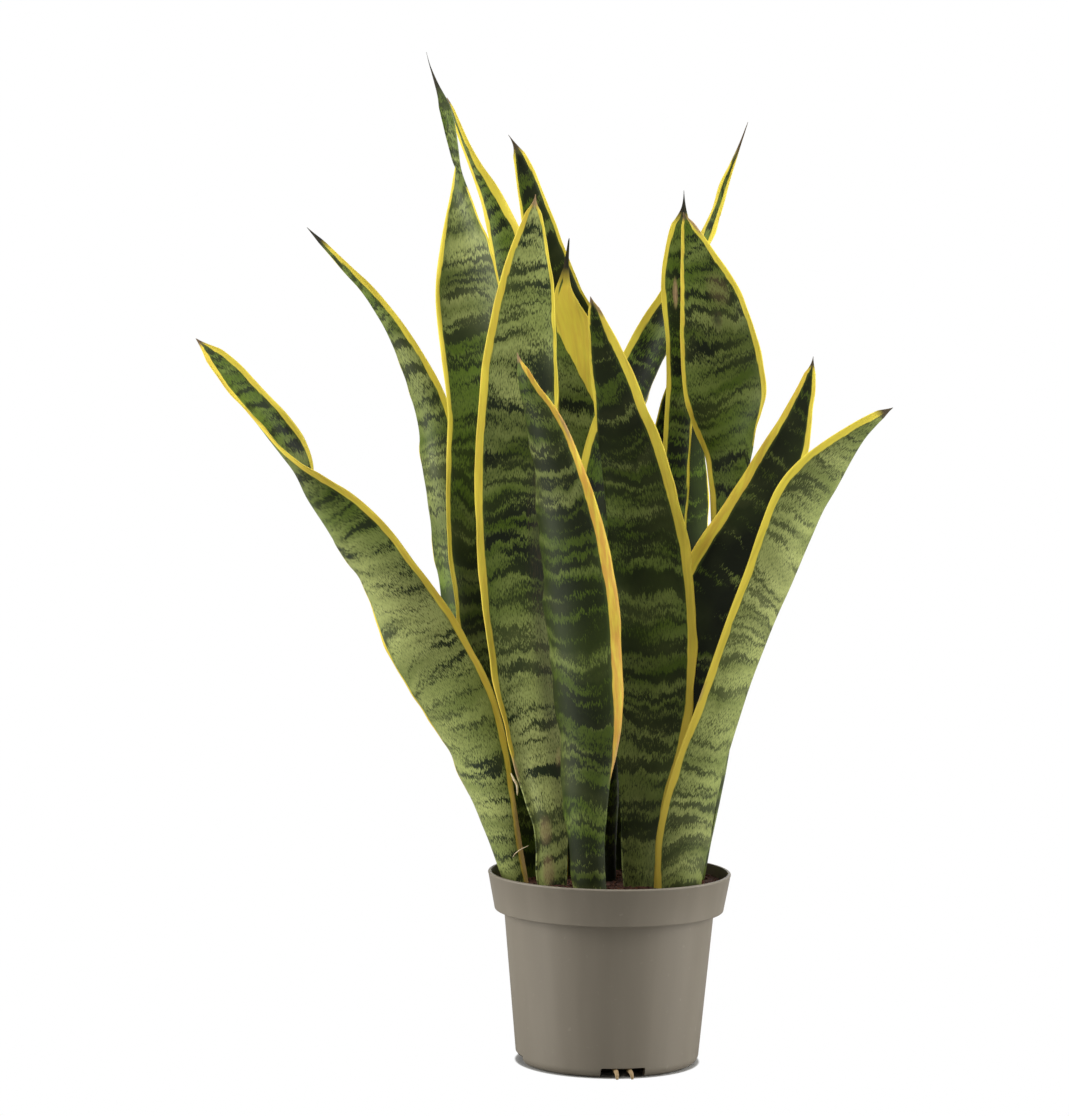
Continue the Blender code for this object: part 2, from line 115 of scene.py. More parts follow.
def leaf_skin():
    """Live leaf skin, grown under a thin wax: a satin that catches a pale grey light at grazing
    angles. Dark toothed bands cross a sage ground every 9 mm or so, drawn in lengthwise dashes
    under 1 mm wide, and a smooth yellow margin runs down each side."""
    skin, tree, shader = new_material("waxy_leaf_skin", Roughness=0.5, IOR=1.34,
                                      Specular_IOR_Level=0.35)
    place = add(tree, "ShaderNodeAttribute", {}, attribute_name="blade_place")["Vector"]
    state = add(tree, "ShaderNodeAttribute", {}, attribute_name="blade_state")["Vector"]
    # The dried attribute holds how dried each place is, one mark of near-black painted shade
    # included, then the tone of each and the margin's rust.
    dried = add(tree, "ShaderNodeAttribute", {}, attribute_name="blade_dried_and_shade")["Vector"]
    tone = add(tree, "ShaderNodeAttribute", {}, attribute_name="blade_tone")["Vector"]
    across, along, seed = add(tree, "ShaderNodeSeparateXYZ", [place])
    inside, paleness, cover = add(tree, "ShaderNodeSeparateXYZ", [state])
    dryness_and_shade, tan, rust = add(tree, "ShaderNodeSeparateXYZ", [dried])
    vivid, soft, matte = add(tree, "ShaderNodeSeparateXYZ", [tone])

    def grain(width_mm, length_mm, detail, lengthwise=along):
        """Noise whose grains are so many mm wide across the blade and so many mm long."""
        x = add(tree, MATH, [across, width_mm], operation="DIVIDE")[0]
        y = add(tree, MATH, [lengthwise, length_mm], operation="DIVIDE")[0]
        where = add(tree, "ShaderNodeCombineXYZ", [x, y, seed])[0]
        return add(tree, NOISE, {"Vector": where, "Scale": 1.0, "Detail": detail})["Fac"]

    dashes = grain(0.85, 6.0, 2.0)
    fine_dashes = grain(0.5, 2.6, 1.5)
    patches = grain(40.0, 55.0, 1.0)

    # The bands: noise 55 mm wide and 7 mm long, swayed by slow waves and toothed by the dashes.
    sway = add(tree, RANGE, [grain(36.0, 70.0, 0.0), 0.28, 0.72, -6.0, 6.0])[0]
    wobble = add(tree, RANGE, [grain(5.0, 22.0, 1.0), 0.28, 0.72, -2.2, 2.2])[0]
    teeth = add(tree, RANGE, [dashes, 0.28, 0.72, -2.3, 2.3])[0]
    swayed = add(tree, MATH, [along, sway], operation="ADD")[0]
    wavy = add(tree, MATH, [swayed, wobble], operation="ADD")[0]
    toothed = add(tree, MATH, [wavy, teeth], operation="ADD")[0]
    bands = grain(55.0, 7.0, 2.0, toothed)
    level = add(tree, RANGE, [cover, 0.0, 1.0, 0.66, 0.34])[0]
    frayed = add(tree, RANGE, [fine_dashes, 0.25, 0.75, -0.09, 0.09])[0]
    frayed = add(tree, MATH, [bands, frayed], operation="ADD")[0]
    over = add(tree, MATH, [frayed, level], operation="SUBTRACT")[0]
    core = add(tree, RANGE, [over, -0.045, 0.055, 0.0, 1.0], interpolation_type="SMOOTHSTEP")[0]
    strength = add(tree, RANGE, [patches, 0.30, 0.60, 0.75, 1.0])[0]
    core = add(tree, MATH, [core, strength], operation="MULTIPLY")[0]
    near = add(tree, RANGE, [over, -0.16, -0.01, 0.0, 0.7])[0]
    specks = add(tree, RANGE, [fine_dashes, 0.50, 0.62, 0.0, 1.0])[0]
    specks = add(tree, MATH, [near, specks], operation="MULTIPLY")[0]
    banding = add(tree, MATH, [core, specks], operation="MAXIMUM")[0]
    weight = add(tree, RANGE, [soft, 0.0, 1.0, 1.0, 0.35])[0]
    banding = add(tree, MATH, [banding, weight], operation="MULTIPLY")[0]

    # The ground between them, sage with fresh green patches and fine streaks.
    shift = add(tree, RANGE, [grain(60.0, 15.0, 1.0, wavy), 0.30, 0.70, -0.25, 0.25])[0]
    tint = add(tree, MATH, [paleness, shift], operation="ADD", use_clamp=True)[0]
    ground = add(tree, MIX, {0: tint, FIRST: linear("#3F4A18"), SECOND: linear("#C2C87C")},
                 data_type="RGBA")[MIXED]
    fresh = add(tree, RANGE, [grain(80.0, 90.0, 1.0), 0.35, 0.62, 0.15, 0.70])[0]
    fading = add(tree, RANGE, [paleness, 0.35, 0.80, 1.0, 0.45])[0]
    fresh = add(tree, MATH, [fresh, fading], operation="MULTIPLY")[0]
    fresh = add(tree, MATH, [fresh, vivid], operation="MULTIPLY")[0]
    ground = add(tree, MIX, {0: fresh, FIRST: ground, SECOND: linear("#5F7A1E")},
                 data_type="RGBA")[MIXED]
    streaks = add(tree, RANGE, [fine_dashes, 0.42, 0.68, 0.0, 0.35])[0]
    ground = add(tree, MIX, {0: streaks, FIRST: ground, SECOND: linear("#46552A")},
                 data_type="RGBA")[MIXED]
    dark = add(tree, MIX, {0: paleness, FIRST: linear("#12170A"), SECOND: linear("#2C3620")},
               data_type="RGBA")[MIXED]
    green = add(tree, MIX, {0: banding, FIRST: ground, SECOND: dark}, data_type="RGBA")[MIXED]

    # The margin: older and browner near the soil, with rusty lengths and a green hem.
    age = add(tree, RANGE, [along, 40.0, 260.0, 0.0, 1.0])[0]
    margin = add(tree, MIX, {0: age, FIRST: linear("#D8C04C"), SECOND: linear("#EEDC4E")},
                 data_type="RGBA")[MIXED]
    mossy = add(tree, RANGE, [grain(3.0, 40.0, 2.0), 0.50, 0.68, 0.0, 0.40])[0]
    margin = add(tree, MIX, {0: mossy, FIRST: margin, SECOND: linear("#C2B23E")},
                 data_type="RGBA")[MIXED]
    rusty = add(tree, RANGE, [grain(2.2, 16.0, 2.0), 0.25, 0.62, 0.0, 1.0])[0]
    rusty = add(tree, MATH, [rusty, rust], operation="MULTIPLY")[0]
    margin = add(tree, MIX, {0: rusty, FIRST: margin, SECOND: linear("#D08F42")},
                 data_type="RGBA")[MIXED]
    uneven = add(tree, RANGE, [grain(3.0, 24.0, 2.0), 0.25, 0.75, -0.7, 0.7])[0]
    depth = add(tree, MATH, [inside, uneven], operation="ADD")[0]
    is_green = add(tree, RANGE, [depth, -0.15, 0.30, 0.0, 1.0])[0]
    hem = add(tree, RANGE, [depth, 0.1, 2.2, 0.45, 0.0])[0]
    green = add(tree, MIX, {0: hem, FIRST: green, SECOND: linear("#55652A")},
                data_type="RGBA")[MIXED]
    live = add(tree, MIX, {0: is_green, FIRST: margin, SECOND: green}, data_type="RGBA")[MIXED]

    # Dried tips and scars, from near black to papery tan; the near black also lays one mark of
    # painted shade.
    husk = add(tree, MIX, {0: tan, FIRST: linear("#2A2C22"), SECOND: linear("#C2A076")},
               data_type="RGBA")[MIXED]
    cracks = add(tree, RANGE, [dashes, 0.45, 0.70, 0.0, 0.5])[0]
    husk = add(tree, MIX, {0: cracks, FIRST: husk, SECOND: linear("#5E4C38")},
               data_type="RGBA")[MIXED]
    colour = add(tree, MIX, {0: dryness_and_shade, FIRST: live, SECOND: husk}, data_type="RGBA")[MIXED]
    tree.links.new(colour, shader.inputs["Base Color"])

    satin = add(tree, RANGE, [patches, 0.3, 0.7, 0.44, 0.56])[0]
    rough = add(tree, MATH, [dryness_and_shade, 0.3, satin], operation="MULTIPLY_ADD")[0]
    rough = add(tree, MATH, [matte, 0.35, rough], operation="MULTIPLY_ADD")[0]
    tree.links.new(rough, shader.inputs["Roughness"])
    ribs = add(tree, MATH, [grain(1.1, 90.0, 2.0), 0.6], operation="MULTIPLY")[0]
    relief = add(tree, MATH, [bands, 0.5, ribs], operation="MULTIPLY_ADD")[0]
    bump = add(tree, "ShaderNodeBump", {"Strength": 0.35, "Distance": 0.25 * MM,
                                        "Height": relief})[0]
    tree.links.new(bump, shader.inputs["Normal"])
    return skin


def pot_plastic():
    """Recycled polypropylene, injection moulded: matte taupe with a faint orange-peel texture,
    flow marks that run up the wall and a dusting of grey scuffs."""
    plastic, tree, shader = new_material("taupe_polypropylene", Roughness=0.55, IOR=1.49)
    place = add(tree, "ShaderNodeTexCoord", {})["Object"]
    upright = add(tree, "ShaderNodeMapping", {"Vector": place, "Scale": (1.0, 1.0, 0.06)})[0]
    flow = add(tree, NOISE, {"Vector": upright, "Scale": 60.0, "Detail": 2.0})["Fac"]
    flow = add(tree, RANGE, [flow, 0.35, 0.65, 0.0, 1.0])[0]
    body = add(tree, MIX, {0: flow, FIRST: linear("#787062"), SECOND: linear("#7D7567")},
               data_type="RGBA")[MIXED]
    scuffs = add(tree, NOISE, {"Vector": place, "Scale": 240.0, "Detail": 3.0})["Fac"]
    scuffs = add(tree, RANGE, [scuffs, 0.66, 0.76, 0.0, 0.35])[0]
    worn = add(tree, MIX, {0: scuffs, FIRST: body, SECOND: linear("#8F897C")},
               data_type="RGBA")[MIXED]
    tree.links.new(worn, shader.inputs["Base Color"])
    cloud = add(tree, NOISE, {"Vector": place, "Scale": 35.0, "Detail": 2.0})["Fac"]
    rough = add(tree, RANGE, [cloud, 0.0, 1.0, 0.46, 0.62])[0]
    tree.links.new(rough, shader.inputs["Roughness"])
    peel = add(tree, NOISE, {"Vector": place, "Scale": 900.0, "Detail": 2.0})["Fac"]
    bump = add(tree, "ShaderNodeBump", {"Strength": 0.25, "Distance": 0.08 * MM, "Height": peel})[0]
    tree.links.new(bump, shader.inputs["Normal"])
    return plastic


def peat_mix(name, light, dark):
    """Damp peat with bark: rough, red-brown to near black, with no shine."""
    peat, tree, shader = new_material(name, Roughness=0.95, IOR=1.4)
    place = add(tree, "ShaderNodeTexCoord", {})["Object"]
    grains = add(tree, NOISE, {"Vector": place, "Scale": 420.0, "Detail": 4.0})["Fac"]
    share = add(tree, RANGE, [grains, 0.35, 0.70, 0.0, 1.0])[0]
    mixed = add(tree, MIX, {0: share, FIRST: linear(dark), SECOND: linear(light)},
                data_type="RGBA")[MIXED]
    tree.links.new(mixed, shader.inputs["Base Color"])
    bump = add(tree, "ShaderNodeBump", {"Strength": 0.8, "Distance": 0.6 * MM, "Height": grains})[0]
    tree.links.new(bump, shader.inputs["Normal"])
    return peat


def dry_husk():
    """Leaf edge and fibre dried to paper: matte cream with fine brown flecks."""
    husk, tree, shader = new_material("papery_dried_leaf", Roughness=0.8, IOR=1.45)
    place = add(tree, "ShaderNodeTexCoord", {})["Object"]
    flecks = add(tree, NOISE, {"Vector": place, "Scale": 700.0, "Detail": 3.0})["Fac"]
    flecks = add(tree, RANGE, [flecks, 0.45, 0.75, 0.0, 1.0])[0]
    mixed = add(tree, MIX, {0: flecks, FIRST: linear("#D9C9A6"), SECOND: linear("#A07C50")},
                data_type="RGBA")[MIXED]
    tree.links.new(mixed, shader.inputs["Base Color"])
    bump = add(tree, "ShaderNodeBump", {"Strength": 0.4, "Distance": 0.1 * MM, "Height": flecks})[0]
    tree.links.new(bump, shader.inputs["Normal"])
    return husk


def root_bark():
    """Young root with a corky tan skin: matte, ringed with fine darker cracks."""
    bark, tree, shader = new_material("corky_root_skin", Roughness=0.75, IOR=1.45)
    place = add(tree, "ShaderNodeTexCoord", {})["Object"]
    cork = add(tree, NOISE, {"Vector": place, "Scale": 900.0, "Detail": 3.0})["Fac"]
    mixed = add(tree, MIX, {0: cork, FIRST: linear("#7A6444"), SECOND: linear("#B59C74")},
                data_type="RGBA")[MIXED]
    tree.links.new(mixed, shader.inputs["Base Color"])
    bump = add(tree, "ShaderNodeBump", {"Strength": 0.5, "Distance": 0.2 * MM, "Height": cork})[0]
    tree.links.new(bump, shader.inputs["Normal"])
    return bark


# ---------------------------------------------------------------- leaves

BLADE_STEPS_PER_STATION = 7       # fine cross-sections between two of the solid's
BLADE_COLUMNS = 28                # facets across one face of a blade
EDGE_THICKNESS = 1.1 * MM
RIB_THICKNESS = 2.8 * MM
THICKEST_SHARE = 0.15             # of the blade's width
DOWNWARD = -0.75                  # the Z of a buried end's normal lies below this
CAP_REACH = 12.0 * MM             # a buried end lies within this of the solid's lowest point
THIN_TIP = 0.35                   # a tip's thickness as a share of the blade's
NARROW_TIP = 0.12                 # a tip's width as a share of the solid's
FULL_RIB_WIDTH = 20.0             # mm of width from which the rib has its full thickness
FULL_FRILL_WIDTH = 40.0           # mm of width from which the edges have their full waves
LEFT_FRILL = ((71, 0.9), (43, 0.5), (23, 0.25))    # wavelengths and heights in mm
RIGHT_FRILL = ((64, 0.9), (37, 0.5), (21, 0.25))
BODY_WAVES = ((97, 0.35), (58, 0.25))
PLAIN_POINT = (9.0, 0.8)          # mm over which a tip draws in, and how hollow its flanks are
PLAIN_WIDEST = 0.26
PLAIN_RUST = (0.15, 0.15)
PLAIN_TONE = {"vivid": 1.0, "soft": 0.0, "matte": 0.0}

# How each leaf looks. Heights are mm above the soil. Left and right are as seen when facing the
# hollow face. "left" and "right" give the yellow margin's width in mm, and a width below zero
# leaves that side green. "widest" is the share of the blade it may take, "rust" how rusty each
# side is, "pale" how light the ground is (0 deep green, 1 sage), "cover" the share that the dark
# bands cover, "chevron" how far they slant from the rib, "spike" the length of the dried tip in mm
# and its tone (0 dark, 1 tan), "point" how the tip draws in, "frill" how wavy the edges are,
# "vivid" how bright the fresh green patches are, "soft" how faint the bands are, "matte" how dull
# the skin is, and "marks" dried patches: height, place across from -1 to 1, half length and half
# width in mm, tone and strength. Some "pale", "cover" and "marks" values are painted shade, each
# marked where it stands.
LOOKS = {
    "leaf_far_left_low": dict(
        left=[(0, 3.4), (85, 3.4), (110, 4.0), (140, 4.6), (195, 4.2), (375, 4.0)],
        right=[(0, 0.7), (95, 1.1), (205, 1.1), (222, 0.4), (262, 0.4), (285, 3.4), (375, 4.0)],
        pale=[(0, 0.66), (195, 0.72), (235, 0.55), (265, 0.25), (375, 0.22)],
        cover=[(0, 0.36), (195, 0.30), (375, 0.48)], rust=(0.3, 0.2), point=(16, 0.7),
        spike=(6, 0.3), marks=[(20, -1.0, 46, 3.0, 0.85, 0.8)], seed=3.1),
    "leaf_left_mid": dict(
        left=[(0, 3.6), (295, 4.4), (455, 3.0)], right=[(0, 1.0), (455, 1.6)], soft=0.2,
        pale=[(0, 0.30), (245, 0.32), (455, 0.30)], cover=[(0, 0.42), (455, 0.45)],
        point=(14, 0.8), spike=(18, 0.0), marks=[], seed=11.7),
    "leaf_back_left_tall": dict(
        left=[(0, 2.8), (435, 2.6), (485, 1.6), (578, 1.0)],
        right=[(0, 0.8), (475, 0.8), (492, -2.0), (578, -2.0)],
        pale=[(0, 0.14), (195, 0.16), (325, 0.18), (435, 0.42), (465, 0.54), (495, 0.3), (578, 0.1)],
        cover=[(0, 0.62), (325, 0.55), (435, 0.36), (578, 0.6)],
        point=(40, 1.2), spike=(34, 0.0), soft=0.2, marks=[], seed=19.3),
    "leaf_back_left_narrow": dict(
        left=[(0, 4.5), (548, 5.5)], right=[(0, 3.0), (548, 3.6)],
        pale=[(0, 0.2), (395, 0.35), (548, 0.4)], cover=[(0, 0.5), (548, 0.42)],
        widest=0.34, spike=(5, 0.4), marks=[], seed=27.9),
    "leaf_centre_tall": dict(
        left=[(0, -2.0), (84, -2.0), (96, 2.4), (140, 3.4), (195, 4.6), (395, 4.7), (477, 2.6)],
        right=[(0, -2.0), (130, -2.0), (160, 1.2), (477, 1.8)], rust=(0.25, 0.1),
        # The lower paleness at the foot is painted shade, darker towards the soil.
        pale=[(0, 0.76), (55, 0.96), (150, 0.92), (195, 0.42), (245, 0.14), (315, 0.22),
              (365, 0.64), (477, 0.82)],
        cover=[(0, 0.40), (145, 0.42), (245, 0.58), (325, 0.48), (395, 0.40), (445, 0.28),
               (477, 0.4)],
        chevron=0.12, point=(12, 1.3), spike=(8, 0.75),
        marks=[(10, 0.0, 12, 6, 0.85, 0.5), (38, -0.1, 10, 6, 0.9, 0.45),
               (84, -1.0, 9, 1.8, 1.0, 0.8), (86, 0.8, 8, 4, 0.6, 0.5),
               # The long near-black mark at 200 mm down the right side is painted shade, not a dried
               # patch.
               (128, 0.85, 10, 4, 0.55, 0.4), (200, 0.72, 140, 11, 0.0, 0.6)], seed=35.2),
    "leaf_back_centre_dark": dict(
        left=[(0, 1.0), (525, 1.2)], right=[(0, 1.6), (525, 1.4)],
        # The near-black ground and bands over most of the blade are painted shade, for a face that
        # stands in shadow.
        pale=[(0, 0.0), (525, 0.05)], cover=[(0, 0.9), (525, 0.8)],
        point=(16, 1.5), spike=(14, 0.1), marks=[], seed=43.6),
    "leaf_front_short": dict(
        left=[(0, -2.0), (70, -2.0), (85, 1.4), (105, 4.0), (122, 6.2), (140, 8.0), (225, 7.6),
              (295, 4.6), (369, 2.4)],
        right=[(0, -2.0), (369, -2.0)], rust=(0.75, 0.2),
        pale=[(0, 0.08), (60, 0.02), (195, 0.0), (315, 0.12), (369, 0.05)],
        vivid=0.5, soft=0.15, matte=0.2,
        cover=[(0, 0.62), (195, 0.62), (315, 0.48), (369, 0.5)],
        point=(12, 1.0), spike=(6, 0.6),
        marks=[(313, -0.95, 10, 1.6, 0.9, 0.7), (96, -0.99, 20, 1.6, 0.85, 0.6)], seed=51.4),
    "leaf_centre_yellow_edge": dict(
        left=[(0, 2.0), (375, 2.0), (405, 3.0), (451, 0.8)],
        right=[(0, 2.0), (300, 2.4), (322, 3.2), (333, 7), (351, 15), (373, 23), (385, 25),
               (396, 24), (406, 14), (418, 5), (451, 0.4)],
        widest=0.85, rust=(0.2, 0.3),
        pale=[(0, 0.20), (295, 0.34), (451, 0.30)], cover=[(0, 0.5), (295, 0.35), (451, 0.3)],
        point=(60, 0.42), spike=(28, 0.0), marks=[], seed=59.8),
    "leaf_front_right_broad": dict(
        left=[(0, -2.0), (310, -2.0), (330, 1.2), (408, 1.4)],
        right=[(0, 3.5), (115, 6.4), (295, 7.0), (408, 4.5)],
        rust=(0.2, 0.2), chevron=-0.22, vivid=0.8, soft=0.15, matte=0.2,
        pale=[(0, 0.38), (95, 0.32), (175, 0.20), (255, 0.03), (408, 0.0)],
        cover=[(0, 0.42), (175, 0.48), (255, 0.66), (408, 0.76)],
        spike=(5, 0.5), marks=[(397, 0.92, 6, 2.2, 0.6, 0.9)], seed=67.5),
    "leaf_right_back_broad": dict(
        left=[(0, 5.0), (245, 4.3), (345, 2.5), (469, 1.8)],
        right=[(0, -2.0), (290, -2.0), (317, 0.8), (343, 3.4), (469, 3.2)], rust=(0.3, 0.15),
        pale=[(0, 0.18), (295, 0.20), (469, 0.20)], cover=[(0, 0.48), (320, 0.40), (469, 0.42)],
        spike=(5, 0.3), seed=75.1,
        marks=[(458, 0.96, 9, 1.8, 0.9, 0.9), (392, 0.05, 6, 3.5, 0.0, 0.75),
               (412, 0.35, 12, 8, 0.6, 0.2)]),
    "leaf_right_back_slender": dict(
        left=[(0, 2.5), (485, 2.8)], right=[(0, 0.8), (485, 0.8)],
        pale=[(0, 0.02), (295, 0.10), (415, 0.22), (485, 0.1)],
        cover=[(0, 0.8), (295, 0.6), (485, 0.5)],
        point=(24, 1.5), spike=(20, 0.0), marks=[(411, -0.20, 11, 2.0, 0.95, 0.9)], seed=83.7),
    "leaf_right_back_hidden": dict(
        left=[(0, 0.5), (387, 0.5)], right=[(0, 0.5), (387, 0.5)],
        # The near-black ground with bands over almost all of it is painted shade, for a leaf deep
        # between the others.
        pale=[(0, 0.0), (387, 0.0)], cover=[(0, 0.95), (387, 0.95)],
        spike=(10, 0.3), matte=1.0, marks=[], seed=91.3),
    "leaf_far_back_leaning": dict(
        left=[(0, 5.0), (455, 4.0), (485, 2.2), (536, 1.2)],
        right=[(0, 4.0), (425, 4.5), (465, 3.4), (490, 1.8), (536, 0.9)],
        pale=[(0, 0.05), (295, 0.08), (395, 0.14), (465, 0.30), (536, 0.30)],
        cover=[(0, 0.75), (395, 0.6), (536, 0.45)], point=(30, 0.8), spike=(26, 0.2),
        marks=[], seed=98.6),
    "leaf_right_leaning": dict(
        left=[(0, 8.0), (225, 8.0), (295, 5.5), (369, 3.5)],
        right=[(0, 3.0), (295, 5.5), (369, 3.0)],
        # The near-black ground and bands over most of the blade are painted shade, for a face that
        # stands in shadow.
        rust=(0.4, 0.2), pale=[(0, 0.0), (369, 0.0)], cover=[(0, 0.95), (369, 0.82)],
        point=(12, 1.2), spike=(8, 0.1), vivid=0.3, matte=1.0, marks=[], seed=106.2),
    "leaf_far_right_front": dict(
        left=[(0, -2.0), (180, -2.0), (335, 1.0)], right=[(0, 4.4), (335, 4.4)], frill=0.3,
        # The lower paleness near the soil is painted shade, darker towards the soil.
        pale=[(0, 0.28), (40, 0.44), (115, 0.64), (255, 0.66), (335, 0.35)],
        cover=[(0, 0.46), (115, 0.34), (335, 0.38)], rust=(0.1, 0.1), vivid=0.6, soft=0.3, matte=0.3,
        spike=(10, 0.1), marks=[(130, 1.0, 8, 1.0, 0.8, 0.6)], seed=114.9),
}


def ring_walk(edges, start):
    """The vertices of a closed chain of edges, in order from start."""
    order = [start]
    while True:
        ahead = [e.other_vert(order[-1]) for e in order[-1].link_edges if e in edges]
        ahead = [v for v in ahead if v not in order]
        if not ahead:
            return order
        order.append(ahead[0])


def solid_rings(node):
    """The cross-sections of a leaf's solid, from its buried end to its tip, as facing_order
    gives them."""
    bm = bmesh.new()
    bm.from_mesh(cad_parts[node].data)
    bmesh.ops.remove_doubles(bm, verts=bm.verts, dist=0.001 * MM)
    bmesh.ops.recalc_face_normals(bm, faces=bm.faces)
    foot = min(v.co.z for v in bm.verts)
    cap = {f for f in bm.faces
           if f.normal.z < DOWNWARD and f.calc_center_median().z < foot + CAP_REACH}
    rim = {e for f in cap for e in f.edges if sum(g in cap for g in e.link_faces) == 1}
    ring = ring_walk(rim, next(iter(rim)).verts[0])
    seen = set(ring)
    rings = [[v.co.copy() for v in ring]]
    while True:
        here = set(ring)
        fresh = {e.other_vert(v) for v in ring for e in v.link_edges} - seen
        if not fresh:
            break
        between = [f for f in bm.faces if sum(v in here for v in f.verts) == 1
                   and sum(v in fresh for v in f.verts) == 2]
        edges = {e for f in between for e in f.edges if all(v in fresh for v in e.verts)}
        walk = ring_walk(edges, next(iter(fresh)))
        turns = [w[i:] + w[:i] for w in (walk, walk[::-1]) for i in range(len(walk))]
        ring = min(turns, key=lambda w: sum((a.co - b).length_squared
                                            for a, b in zip(w, rings[-1])))
        seen |= fresh
        rings.append([v.co.copy() for v in ring])
    bm.free()
    points = np.array([[list(p) for p in r] for r in rings])
    return facing_order(points)


def facing_order(points):
    """Split closed cross-sections into the blade's rounded outer face and its hollow inner face,
    each an array of stations by points that run from the left edge to the right."""
    first = points[0]
    size = len(first)
    half = size // 2
    gaps = np.linalg.norm(np.roll(first, -1, axis=0) - first, axis=1)
    thin = [i for i in range(size) if gaps[i] + gaps[(i + half) % size]
            == min(gaps[j] + gaps[(j + half) % size] for j in range(size))]
    points = np.roll(points, -(thin[0] + 1), axis=1)
    sides = points[0][:half], points[0][half:][::-1]
    spans = [np.linalg.norm(np.diff(side, axis=0), axis=1).sum() for side in sides]
    outer, inner = (points[:, :half], points[:, half:][:, ::-1])
    if spans[1] > spans[0]:
        outer, inner = inner, outer
    up = points[1].mean(axis=0) - points[0].mean(axis=0)
    hollow = inner[0][half // 2] - outer[0][half // 2]
    rightwards = np.cross(up, hollow)
    if np.dot(outer[0][-1] - outer[0][0], rightwards) < 0:
        outer, inner = outer[:, ::-1], inner[:, ::-1]
    return outer, inner


def spline(values, places):
    """Catmull-Rom reading of rows of values at fractional row numbers."""
    last = len(values) - 1
    i = np.minimum(places.astype(int), last - 1)
    wide = (...,) + (None,) * (values.ndim - 1)
    f = (places - i)[wide]
    b, c = values[i], values[i + 1]
    a = np.where((i > 0)[wide], values[np.maximum(i - 1, 0)], 2 * b - c)
    d = np.where((i < last - 1)[wide], values[np.minimum(i + 2, last)], 2 * c - b)
    return b + 0.5 * f * (c - a + f * (2 * a - 5 * b + 4 * c - d + f * (3 * (b - c) + d - a)))


def ripple(length, seed, waves):
    """A smooth, uneven wave along a length in mm: pairs of wavelength in mm and height in mm."""
    return sum(h * np.sin(2 * math.pi * length / w + seed * (k + 1.7))
               for k, (w, h) in enumerate(waves))


def blade_surface(node, seed, point, frill):
    """The blade's middle surface on a fine grid, with its normals, its places across and along
    and its width in mm, and how far its tip is drawn in."""
    outer, inner = solid_rings(node)
    middle = (outer + inner) / 2
    toward = inner[:, inner.shape[1] // 2] - outer[:, outer.shape[1] // 2]
    stations, columns = middle.shape[:2]
    rows = np.linspace(0, stations - 1, (stations - 1) * BLADE_STEPS_PER_STATION + 1)
    grid = spline(middle, rows)
    sides = np.linspace(0, columns - 1, BLADE_COLUMNS + 1)
    grid = spline(grid.transpose(1, 0, 2), sides).transpose(1, 0, 2)

    rib = grid[:, BLADE_COLUMNS // 2]
    along = np.concatenate([[0], np.cumsum(np.linalg.norm(np.diff(rib, axis=0), axis=1))]) / MM
    draw_in = np.clip((along[-1] - along) / point[0], 0.0, 1.0) ** point[1]
    draw_in = NARROW_TIP + (1 - NARROW_TIP) * draw_in
    grid = rib[:, None] + (grid - rib[:, None]) * draw_in[:, None, None]
    steps = np.linalg.norm(np.diff(grid, axis=1), axis=2) / MM
    across = np.concatenate([np.zeros((len(rows), 1)), np.cumsum(steps, axis=1)], axis=1)
    width = across[:, -1].copy()
    across -= across[:, BLADE_COLUMNS // 2][:, None]

    run = np.gradient(grid, axis=0)
    cross = np.gradient(grid, axis=1)
    normals = np.cross(cross, run)
    normals /= np.linalg.norm(normals, axis=2, keepdims=True)
    if np.sum(normals[:, BLADE_COLUMNS // 2] * spline(toward, rows)) < 0:
        normals = -normals

    s = np.linspace(-1, 1, BLADE_COLUMNS + 1)
    share = np.clip(width / FULL_FRILL_WIDTH, 0, 1) * frill
    lift = np.clip(-s, 0, 1) ** 4 * ripple(along, seed, LEFT_FRILL)[:, None]
    lift += np.clip(s, 0, 1) ** 4 * ripple(along, seed + 2.3, RIGHT_FRILL)[:, None]
    lift += (1 - s * s) * ripple(along, seed + 5.1, BODY_WAVES)[:, None]
    grid = grid + normals * (lift * share[:, None] * MM)[..., None]
    return grid, normals, across, along, width, draw_in


